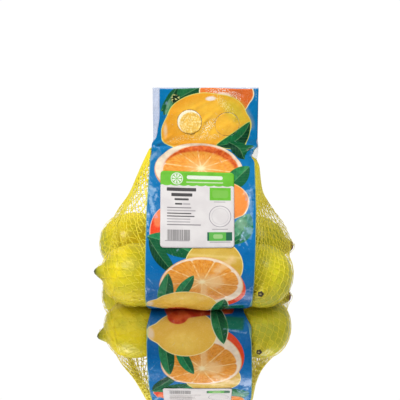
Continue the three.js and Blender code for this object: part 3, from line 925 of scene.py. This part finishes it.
    # painted highlights: thin pale-blue streaks along the folds and creases
    glare_streaks = p.clouds(2.6, 3.0, 0.4, 0.62) * 1.2
    for middle, (width, length), angle, share in (
            ((-42.5, 190), (9, 3.6), -30, 0.55), ((-43, 176), (3.6, 16), 12, 0.5),
            ((-39, 182), (2.4, 12), -20, 0.35), ((-46, 152), (1.2, 12), 0, 0.5),
            ((42.5, 144), (2.0, 13), -16, 0.7), ((45.5, 140), (1.4, 9), 24, 0.6),
            ((51, 176), (3.6, 26), 4, 0.3), ((50, 150), (6, 7), 20, 0.3), ((39, 64), (22, 1.6), 10, 0.5),
            ((-42, 222), (4.0, 8), -20, 0.4), ((-44, 101), (8, 0.5), -52, 0.6),
            ((-30, 274), (5, 3.0), 40, 0.35), ((55.5, 283), (1.2, 8), 4, 0.5),
            ((54, 224), (2.0, 10), 30, 0.4), ((-19, 131), (5, 0.8), 40, 0.4)):
        mark = p.ellipse(middle, (width * 0.62, length * 0.62), angle) + glare_streaks
        p.lay(mark, (170, 204, 236), 0.9, share)

    # the film's cut edges, where a hair of the net's yellow shows
    height = p.place().axes()[2] * 1000
    edge = p.add("ShaderNodeAttribute", {"attribute_name": "edge_distance"}, output=2)
    edge = edge.rise(0.75, 0.45) * height.rise(162, 154) * height.rise(6, 20)
    p.ink = p.mix(edge * 0.6, p.ink, (176, 214, 130))

    # handling marks: short hairline scratches and a little dust haze
    scratches = p.add("ShaderNodeTexWave", {"wave_type": "BANDS", "bands_direction": "DIAGONAL"},
                      {"Vector": p.print_place, "Scale": 60.0, "Distortion": 4.0, "Detail": 2.0}, output=1)
    marks = scratches.rise(0.99, 1.0) * p.clouds(5, 2.0, 0.6, 0.68)
    printed = p.mix(marks * 0.25, p.ink, (180, 214, 240))
    p.colour(printed.vector("MULTIPLY", (0.87, 0.87, 0.85)))
    p.roughness(0.22 + p.clouds(8, 3.0) * 0.08 + marks * 0.3)
    p.bump(p.noise(p.print_place, 0.0045, 3.0), 0.0003)
    return p.material


def crushed_film(printed):
    """The same print where it is crushed, for the pushed-in flap, with painted highlights and shade on its
    facets.
    """
    crushed = printed.copy()
    crushed.name = "crushed_film"
    nodes = Nodes(crushed.node_tree)
    base = crushed.node_tree.nodes["Principled BSDF"].inputs["Base Color"]
    place = nodes.add("ShaderNodeTexCoord", output=3)
    # painted light and shade: the crumpled facets are painted pale where lit and darker between
    facets = nodes.add("ShaderNodeTexVoronoi", {"feature": "SMOOTH_F1"}, {"Vector": place, "Scale": 560.0})
    pale = nodes.mix(facets.rise(0.1, 0.55), (250, 228, 158), (228, 184, 84))
    cx, cy = FINGER_CUTS["left"]
    spot = nodes.add("ShaderNodeUVMap", {"uv_map": "print_place"})
    from_rim = spot.vector("SUBTRACT", (0.1 + (cx + 1.5) * MM, (cy - 1.6) * MM, 0)).length() * 1000
    pale = nodes.mix(from_rim.rise(10.6, 11.4), pale, (250, 240, 212))  # painted highlight: its bent-up rim is painted near white
    nodes.feed(base, nodes.mix(0.85, Value(nodes, base.links[0].from_socket), pale))
    return crushed


def write_edge_distance(piece, panel):
    """Keeps how far each vertex is from the film's side edges, in mm."""
    points = vertices_of(piece) / MM - PACK_SHIFT
    middle, half = panel.middle_and_half(points[:, 2])
    away = half - np.abs(points[:, 0] - middle)
    layer = piece.data.attributes.new("edge_distance", "FLOAT", "POINT")
    layer.data.foreach_set("value", away.astype(np.float32))


print_finish = fruit_print()
for piece in (film, *flaps.values()):
    write_edge_distance(piece, front)
    piece.data.materials.append(crushed_film(print_finish) if piece == flaps["left"] else print_finish)
    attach(piece, "root")
    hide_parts("film_front")


# ---- Back film: a clear panel, welded over the net like the front one. ----
# Thin clear film with a faint lavender cast; the lemons and the print's back show through it.

BACK_LINE = [(0, 1.1), (34, 1.1), (56, 3.4), (70, 14), (76.5, 31), (73.5, 52), (61, 76), (43, 102), (22, 130),
             (3, 150), (-3.5, THROAT_HEIGHT)]
BACK_EDGES = [(1.1, 0, 43.5), (12, 1, 48.5), (25, 3, 51.5), (60, 4, 51.5), (150, 8, 51.5), (168, 8.2, 49.8),
              (TOTAL_HEIGHT, 8.2, 49.8)]
BACK_FOLDS = [
    ((-40, 288), (-38, 226), 1.3, 0.8), ((-37, 284), (-35, 240), 1.1, -0.6), ((56, 228), (44, 205), 1.8, 0.9),
    ((-38, 228), (-28, 206), 1.8, 0.9), ((-20, 228), (-14, 196), 2.0, 0.8), ((4, 228), (6, 190), 2.2, 0.9),
    ((28, 228), (24, 196), 2.0, 0.8), ((-44, 170), (-38, 130), 2.0, 0.8), ((54, 168), (48, 126), 2.2, 0.9),
    ((-8, 60), (6, 110), 2.4, 0.7), ((30, 130), (18, 98), 2.0, 0.6),
]

back = Panel(BACK_LINE, HEADER_LINE, BACK_EDGES, 1)


def back_relief(x, run):
    lift = 0.5 * crumple(x, run, 15, 92) + smooth_rise(run, 190, 225) * 0.25 * crumple(x, run, 5.5, 44)
    lift = add_folds(lift, x, run, BACK_FOLDS)
    in_header = smooth_rise(run, back.weld - 4, back.weld + 6)  # there it follows the front film
    header = 0.35 - front_relief(x, run + front.weld - back.weld)
    return np.maximum(lift, -0.05) * (1 - in_header) + header * in_header


def as_cut(x, run):
    return x, run


def clear_film():
    p = Print("clear_film", Roughness=0.1, IOR=1.45)
    haze = p.clouds(26, 2.0, 0.3, 0.7)
    p.ink = p.mix(haze, (170, 186, 218), (196, 206, 228))
    p.colour(p.ink)
    folds = p.add("ShaderNodeTexWave", {"wave_type": "BANDS", "bands_direction": "X"},
                  {"Vector": p.print_place, "Scale": 60.0, "Distortion": 6.0, "Detail": 2.0}, output=1)
    p.roughness(0.08 + haze * 0.06)
    opaque = p.y.rise(back.weld - 6, back.weld) * 0.4  # welded to the front film there
    p.feed(p.shader.inputs["Alpha"], opaque + 0.15 + haze * 0.05 + folds.rise(0.8, 1.0) * 0.08)
    p.bump(p.noise(p.print_place, 0.004, 3.0), 0.0004)
    return p.material


back_sheet = slab("back_film", 2 * HEADER_HALF, back.length, FILM_THICKNESS, 60, 180)
lay_on_panel(back_sheet, back, back_relief, as_cut)
back_sheet.data.materials.append(clear_film())
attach(back_sheet, "root")
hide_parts("film_back")


# ---- Paper label: stuck on the front film below the weld. ----
# White coated paper with round corners, a green band with a scalloped edge at its top, and
# plain bars, a ring and blocks of colour under it.

LABEL_LEFT, LABEL_BOTTOM, LABEL_RIGHT, LABEL_TOP = LABEL_AREA
LABEL_WIDTH = LABEL_RIGHT - LABEL_LEFT
LABEL_HEIGHT = LABEL_TOP - LABEL_BOTTOM
LABEL_CORNER = 3.5
LABEL_FLOAT = 1.02
LABEL_THICKNESS = 0.22
LABEL_ASKEW = 2.2  # how much further down its right edge is stuck on

label = slab("label", LABEL_WIDTH, LABEL_HEIGHT, LABEL_THICKNESS, 46, 50)
bpy.ops.mesh.primitive_cube_add(
    size=1, location=(0, LABEL_HEIGHT / 2, 0), scale=(LABEL_WIDTH, LABEL_HEIGHT, 8))
block = bpy.context.object
bpy.ops.object.transform_apply(location=True, rotation=False, scale=True)
upright = block.data.attributes.new("bevel_weight_edge", "FLOAT", "EDGE")
for edge in block.data.edges:
    low, high = (block.data.vertices[v].co for v in edge.vertices)
    upright.data[edge.index].value = float(abs(low.z - high.z) > 1)
rounding = block.modifiers.new("corners", "BEVEL")
rounding.limit_method = "WEIGHT"
rounding.width = LABEL_CORNER
rounding.segments = 8
apply_modifiers(block)
cut_with(label, block, "INTERSECT")


def form_label(sheet):
    flat = vertices_of(sheet)
    run = flat[:, 1] + LABEL_BOTTOM
    x = flat[:, 0] + (LABEL_LEFT + LABEL_RIGHT) / 2
    _, middle, half = front.flat_to_print(0.0, run)
    near_edge = np.minimum.reduce([x - LABEL_LEFT, LABEL_RIGHT - x, run - LABEL_BOTTOM, LABEL_TOP - run])
    lift = 0.3 * crumple(x, run, 24, 77) + 0.25 * bell(near_edge / 2.0)
    out = LABEL_FLOAT + flat[:, 2] + np.maximum(lift, -0.1)
    shown = run - LABEL_ASKEW * (run - LABEL_BOTTOM) / LABEL_HEIGHT * (x - LABEL_LEFT) / LABEL_WIDTH
    move_vertices(sheet, front.point(shown, (x - middle) / half, out) * MM)
    write_uv(sheet, x, run)
    smoothly(sheet)


form_label(label)


def label_paper():
    p = Print("label_paper", Roughness=0.42, IOR=1.5, Specular_IOR_Level=0.3)
    p.ink = p.mix(p.clouds(14, 2.0), (238, 235, 235), (230, 226, 227))
    green = p.mix(p.clouds(9, 2.0), (104, 196, 36), (112, 204, 44))
    band = LABEL_TOP - p.y - 14.2
    scallops = (((p.x / 8.2).fraction() - 0.5) * 2) ** 2 * 0.9
    p.lay(band + scallops, green, 0.2)

    # a citrus wheel and two pale bars in the band
    wheel = (-19.0, 200.6)
    spot = p.ellipse(wheel, (5.8, 5.8))
    p.lay(spot, (244, 250, 240), 0.25)
    p.lay(p.ellipse(wheel, (5.0, 5.0)), green, 0.2)
    local = p.seen_from(wheel)
    wedge = abs(p.sectors(local, 8, 20).fraction() - 0.5)
    reach = local.length()
    petals = (reach - 4.5).highest(wedge * reach * 0.8 - 0.28 * reach + 0.1).highest(0.7 - reach)
    p.lay(petals, (244, 250, 240), 0.2)
    p.lay(p.box((7.5, 202.2), (34, 3.6), 1.6), (240, 248, 236), 0.25)
    p.lay(p.box((7.5, 197.4), (35, 1.1), 0.5), (206, 234, 184), 0.25)

    dark, grey, light = (62, 60, 62), (140, 136, 140), (176, 172, 176)
    for place, size, ink in (
            ((-14.6, 190.0), (28, 3.4), dark), ((-14.2, 184.8), (20, 3.2), dark),
            ((-14.4, 180.4), (13.5, 2.0), dark), ((-17.2, 175.9), (7, 1.6), dark),
            ((-9.6, 175.9), (7, 1.4), light)):
        p.lay(p.box(place, size, 0.7), ink, 0.25)
    for line, (width, ink) in enumerate((
            (23, grey), (27, light), (23, dark), (26, dark), (22, light), (22, light), (32, grey))):
        p.lay(p.box((-28.2 + width / 2, 172.2 - 2.75 * line), (width, 1.05), 0.4), ink, 0.25)

    # the striped block: bars of uneven width
    uneven = p.add("ShaderNodeTexNoise", {"noise_dimensions": "1D"},
                   {"W": p.x * 0.7, "Scale": 1.0, "Detail": 1.0})
    stripes = abs((p.x / 2.1).fraction() - 0.5) * 2.1 - uneven.rise(0.35, 0.65) * 0.6 - 0.68
    p.lay(p.box((-17.2, 145.8), (21.5, 10.2)).highest(stripes), (14, 12, 18), 0.1)
    p.lay(p.box((-18.6, 140.4), (23, 0.9), 0.4), light, 0.2)

    # the plain green rectangle, the ring and the two-tone block
    p.lay(p.box((22.2, 186.2), (20.0, 12.6), 0.3), green, 0.2)
    p.lay(p.box((22.2, 186.2), (15.0, 7.6), 2.2), (140, 208, 90), 0.5, 0.6)
    p.lay(p.box((21.6, 178.4), (11, 0.7), 0.3), light, 0.2)
    ring = p.ellipse((22.0, 164.2), (10.4, 10.4))
    p.lay(abs(ring + 0.2) - 0.22, (118, 112, 128), 0.2)
    p.lay(abs(ring + 2.6) - 0.1, (170, 166, 176), 0.2, 0.8)
    p.lay(p.box((22.0, 151.6), (15, 0.9), 0.4), light, 0.2)
    p.lay(p.box((21.6, 144.6), (23.6, 8.4), 0.5), (14, 106, 72), 0.2)
    p.lay(p.box((19.6, 144.6), (16.0, 8.4), 0.2), (92, 186, 72), 0.2)
    p.lay(p.box((20.0, 144.6), (9.0, 4.2), 1.6), (176, 222, 146), 0.4, 0.8)
    p.lay(p.box((22.0, 139.2), (20, 0.9), 0.4), light, 0.2)

    p.colour(p.ink.vector("MULTIPLY", (0.71, 0.7, 0.69)))
    fibre = p.noise(p.print_place, 0.0007, 3.0)
    p.roughness(0.4 + fibre * 0.12)
    p.bump(fibre + p.noise(p.print_place, 0.012), 0.00012)
    return p.material


label.data.materials.append(label_paper())
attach(label, "root")
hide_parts("paper_label")


# ---- Net: yellow mesh drawn tight over the lemons, its edges welded under the two films. ----
# Knitted plastic thread: each thread zigzags up the tube and is tied to its neighbours in turn,
# which makes six-sided cells. They open over the lemons and close up where the weld gathers them.

THREAD_RADIUS = 0.2
THREAD_CLEARANCE = 0.5  # from the smooth form of a lemon, because its skin has lumps
MORE_CLEARANCE = 0.4  # beside the films, where nothing presses the net down
THREADS = 48
MESHES_UP = 27  # cells from the seam to the weld
WEB_LEVELS = 32
WEB_COLUMNS = 20
PULLS = 900
WEB_START = 90.0
THROAT_REACH = 1.6  # how far the net shows past the films' edges at the weld
SEAM_REACH = 12.0
TAUT_HEIGHT = 94.0
STRETCHED_FROM, STRETCHED_TO, STRETCHED_SHARE = 62, 96, 0.5  # heights, and the fullness kept above them
HEM_STEPS = (9.0, 4.5, 0.0)  # how far in from the films' edges the net is held under them
HEM_DEPTH = -0.5
PLIES = 1.2  # how much thicker a thread is higher up, where its plies lie side by side
BUNCHED = 4  # how many threads draw together higher up, where the net is slack
BUNCHED_FROM_TO = (0.42, 0.6)  # the shares of the way up where they begin to and have done so
BRIDGE = 4.6  # how far the net stands off the hollow between two lemons
GATHERED = 7.5  # how far in the top of the right web is gathered, behind the front film
# The webs at the two sides: how hard the net pulls round the pack against up it, how slack it is, and
# where it stands out more or less: height, how far up and down, and by how much.
WEBS = {
    "left": {"side": -1, "hoop": 0.12, "fullness": 0.08, "spread": ((80, 23, 5.8),)},
    "right": {"side": 1, "hoop": 1.4, "fullness": 0.0, "spread": ((62, 14, 2.5), (108, 17, -2.2))},
}


def push_out(points, lemon, clearance):
    """Moves the points that are in a lemon out to its skin, square to the skin."""
    across = points - lemon["centre"]
    along = across @ lemon["axis"]
    across = across - along[..., None] * lemon["axis"]
    distance = np.linalg.norm(across, axis=-1)
    depth = lemon_radius(lemon, along) + clearance - distance
    within = (depth > 0) & (along < lemon["tip_end"]) & (along > -lemon["stem_end"])
    slope = lemon_radius(lemon, along + 0.5) - lemon_radius(lemon, along - 0.5)
    outward = across / np.maximum(distance, 1e-6)[..., None] - slope[..., None] * lemon["axis"]
    move = np.where(within, depth, 0) / np.sum(outward * outward, axis=-1)
    return points + outward * move[..., None]


def refined(grid):
    """The same grid with a new point between every two."""
    rows = np.empty((grid.shape[0] * 2 - 1, grid.shape[1], 3))
    rows[::2] = grid
    rows[1::2] = (grid[1:] + grid[:-1]) / 2
    full = np.empty((rows.shape[0], grid.shape[1] * 2 - 1, 3))
    full[:, ::2] = rows
    full[:, 1::2] = (rows[:, 1:] + rows[:, :-1]) / 2
    return full


def pulled_tight(web):
    """The web between the films as a grid of points: rows up it, columns from front to back."""
    share = np.linspace(0, 1, WEB_LEVELS + 1)[:, None]
    on = np.linspace(0, 1, WEB_COLUMNS + 1)[None, :]
    starts = front.point(share * front.weld, float(web["side"]))
    ends = back.point(share * back.weld, float(web["side"]))
    grid = starts + (ends - starts) * on[..., None]
    bulge = np.sin(math.pi * on)
    reach = (WEB_START * (1 - share) + THROAT_REACH * share) * bulge
    reach[0] = SEAM_REACH * (1 - np.abs(2 * on - 1))
    grid[..., 0] += web["side"] * reach
    fullness = web["fullness"]
    for fineness in (1, 2):
        if fineness == 2:
            grid = refined(grid)
            share = np.linspace(0, 1, grid.shape[0])
            grid[:, 0] = front.point(share * front.weld, float(web["side"]))
            grid[:, -1] = back.point(share * back.weld, float(web["side"]))
            fullness = fullness / 4
        hoop = np.full(grid.shape[:2] + (1,), web["hoop"])
        held = np.zeros(grid.shape[:2], bool)
        for pull in range(PULLS // fineness ** 2):
            if pull == PULLS // 2 * (2 - fineness):
                catch_tips(grid, hoop, held, web["side"])
            inner_hoop = hoop[1:-1, 1:-1]
            sides = grid[1:-1, 2:] + grid[1:-1, :-2]
            ends_ = grid[2:, 1:-1] + grid[:-2, 1:-1]
            pulled = (sides * inner_hoop + ends_) / (2 + 2 * inner_hoop)
            slack = 1 - (1 - STRETCHED_SHARE) * smooth_rise(pulled[..., 2], STRETCHED_FROM, STRETCHED_TO)
            pulled[..., 0] += web["side"] * fullness * slack
            for lemon in LEMONS.values():
                pulled = push_out(pulled, lemon, 0.0)
            pulled[..., 2] = np.maximum(pulled[..., 2], 0.0)
            free = ~held[1:-1, 1:-1]
            grid[1:-1, 1:-1][free] = pulled[free]
    return grid


def catch_tips(grid, hoop, held, side):
    """Hangs the nearest knot on a lemon's tip, and lets the thread above it run straight."""
    for lemon in LEMONS.values():
        if lemon.get("caught") and side * lemon["axis"][0] > 0:
            tip = lemon["centre"] + lemon["axis"] * lemon["tip_end"]
            away = np.linalg.norm(grid - tip, axis=-1)
            row, column = np.unravel_index(np.argmin(away), away.shape)
            grid[row, column] = tip
            held[row, column] = True
            above = (np.arange(grid.shape[0]) > row) & (grid[:, column, 2] < TAUT_HEIGHT)
            hoop[above, column] = 0


def hem(panel, side, share, inward):
    """A column of the net that runs up under a film, at a distance in from its edge."""
    run = share * panel.weld
    _, _, half = panel.flat_to_print(0.0, run)
    return panel.point(run, side * (1 - inward / half), HEM_DEPTH)[:, None]


def with_hems(grid, side):
    """Adds two columns at each side, where the net lies under the films."""
    share = np.linspace(0, 1, grid.shape[0])
    hems = [hem(front, side, share, inward) for inward in HEM_STEPS]
    tails = [hem(back, side, share, inward) for inward in reversed(HEM_STEPS)]
    return np.concatenate([*hems, grid[:, 1:-1], *tails], axis=1)


def sample(grid, row, column):
    """Points of a grid at fractional rows and columns."""
    row = np.clip(row, 0, grid.shape[0] - 1.001)
    column = np.clip(column, 0, grid.shape[1] - 1.001)
    i, j = row.astype(int), column.astype(int)
    a, b = (row - i)[..., None], (column - j)[..., None]
    low = grid[i, j] * (1 - b) + grid[i, j + 1] * b
    high = grid[i + 1, j] * (1 - b) + grid[i + 1, j + 1] * b
    return low * (1 - a) + high * a


def form_net(name, web, seed):
    chance = np.random.default_rng(seed)
    grid = with_hems(pulled_tight(web), web["side"])
    columns = grid.shape[1] - 1
    steps = MESHES_UP * 10
    share = np.linspace(0.004, 0.996, steps)
    rows = share * (grid.shape[0] - 1)
    curve = bpy.data.curves.new(name, "CURVE")
    curve.dimensions = "3D"
    curve.bevel_depth = THREAD_RADIUS * MM
    curve.bevel_resolution = 1
    curve.use_fill_caps = True
    spacing = columns / THREADS
    for thread in range(THREADS):
        middle = (thread + 0.5) * spacing
        phase = 2 * math.pi * MESHES_UP * share + chance.normal(0, 0.16)
        phase = phase + 0.5 * np.sin(share * 19 + thread * 0.4)
        swing = np.clip(1.3 * np.sin(phase), -1, 1) * (-1) ** thread
        drift = 0.2 * spacing * np.sin(share * 23 + thread * 1.7 + chance.uniform(0, 6))
        column = middle + swing * spacing * 0.42 + drift
        bunch = BUNCHED * spacing
        column = column - smooth_rise(share, *BUNCHED_FROM_TO) * 0.75 * bunch / (2 * math.pi) * np.sin(
            2 * math.pi * (column / bunch + 0.35 * np.sin(share * 26)))
        points = sample(grid, rows, column)
        for lemon in LEMONS.values():
            beside_films = smooth_rise(abs(points[:, 0]), 58, 66)
            points = push_out(points, lemon, THREAD_CLEARANCE + MORE_CLEARANCE * beside_films)
        points[:, 2] = np.maximum(points[:, 2], THREAD_RADIUS + 0.1)
        x, y, z = points.T
        beyond = smooth_rise(abs(x), 55, 80)
        spread = BRIDGE * np.exp(-((z - 39) / 21) ** 2 - ((y - 1) / 20) ** 2)
        for level, height, amount in web["spread"]:
            spread = spread + amount * bell((z - level) / height)
        points[:, 0] += web["side"] * beyond * spread
        if web["side"] > 0:
            points[:, 0] -= GATHERED * smooth_rise(points[:, 2], 134, 146)
        spline = curve.splines.new("POLY")
        spline.points.add(steps - 1)
        spline.points.foreach_set("co", np.column_stack([points * MM, np.ones(steps)]).ravel())
        lumps = 1 + 0.16 * np.sin(share * 900 + thread) + 0.3 * (np.abs(np.sin(phase)) > 0.8)
        lumps = lumps + PLIES * smooth_rise(points[:, 2], 70, 108)
        spline.points.foreach_set("radius", lumps.astype(np.float32))
    net = bpy.data.objects.new(name, curve)
    scene.collection.objects.link(net)
    select_only(net)
    bpy.ops.object.convert(target="MESH")
    net = bpy.context.object
    smoothly(net)
    return net


def net_plastic():
    plastic = Finish("yellow_net", Roughness=0.36, IOR=1.5, Emission_Strength=0.035)  # painted glow: a faint emission stands in for light coming through the threads
    plastic.feed(plastic.shader.inputs["Emission Color"], (255, 236, 40))
    ply = plastic.noise(plastic.place(), 0.0007, 2.0)
    patches = plastic.noise(plastic.place(), 0.03)
    tone = plastic.mix(patches.rise(0.3, 0.7), (232, 212, 30), (236, 222, 66))
    plastic.colour(plastic.mix(ply * 0.3, tone, (216, 194, 22)))
    plastic.roughness(0.3 + ply * 0.15)
    plastic.bump(ply, 0.00015)
    return plastic.material


net_finish = net_plastic()
for seed, (web_name, web) in enumerate(WEBS.items()):
    net = form_net(f"net_{web_name}", web, seed + 11)
    net.data.materials.append(net_finish)
    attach(net, "root")
    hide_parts("lemon_net")
